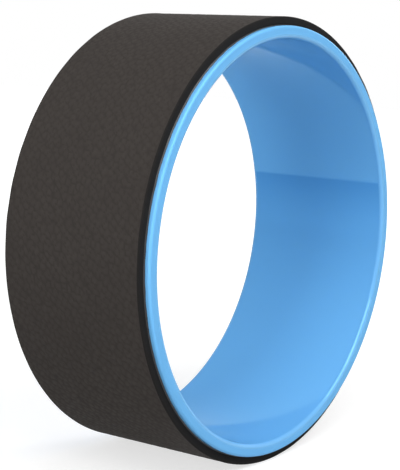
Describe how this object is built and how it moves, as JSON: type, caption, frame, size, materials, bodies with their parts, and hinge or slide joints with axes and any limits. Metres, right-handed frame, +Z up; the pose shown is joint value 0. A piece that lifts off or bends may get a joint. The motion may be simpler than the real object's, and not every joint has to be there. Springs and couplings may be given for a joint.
{
  "type": "yoga wheel",
  "caption": "Wide rigid plastic hoop with rounded ends and an embossed foam pad glued round its outside, for back stretches and balance work.",
  "frame": {"origin": "centre of the wheel, on its axis, midway between the hoop's end faces", "axes": "+Y along the wheel's axis, +Z up as the wheel stands on its tread"},
  "size_m": [0.3305, 0.127, 0.3304],
  "materials": {
    "hoop_plastic": "light blue, solid colour, glossy inside and satin on the turned end faces",
    "adhesive": "dark double-sided acrylic film",
    "pad_foam": "brownish dark grey closed-cell foam, matte, finely embossed on the outside, darker cut edges"
  },
  "bodies": {
    "root": {"hoop": "hoop_plastic", "adhesive_film": "adhesive", "tread_pad": "pad_foam"}
  },
  "joints": []
}
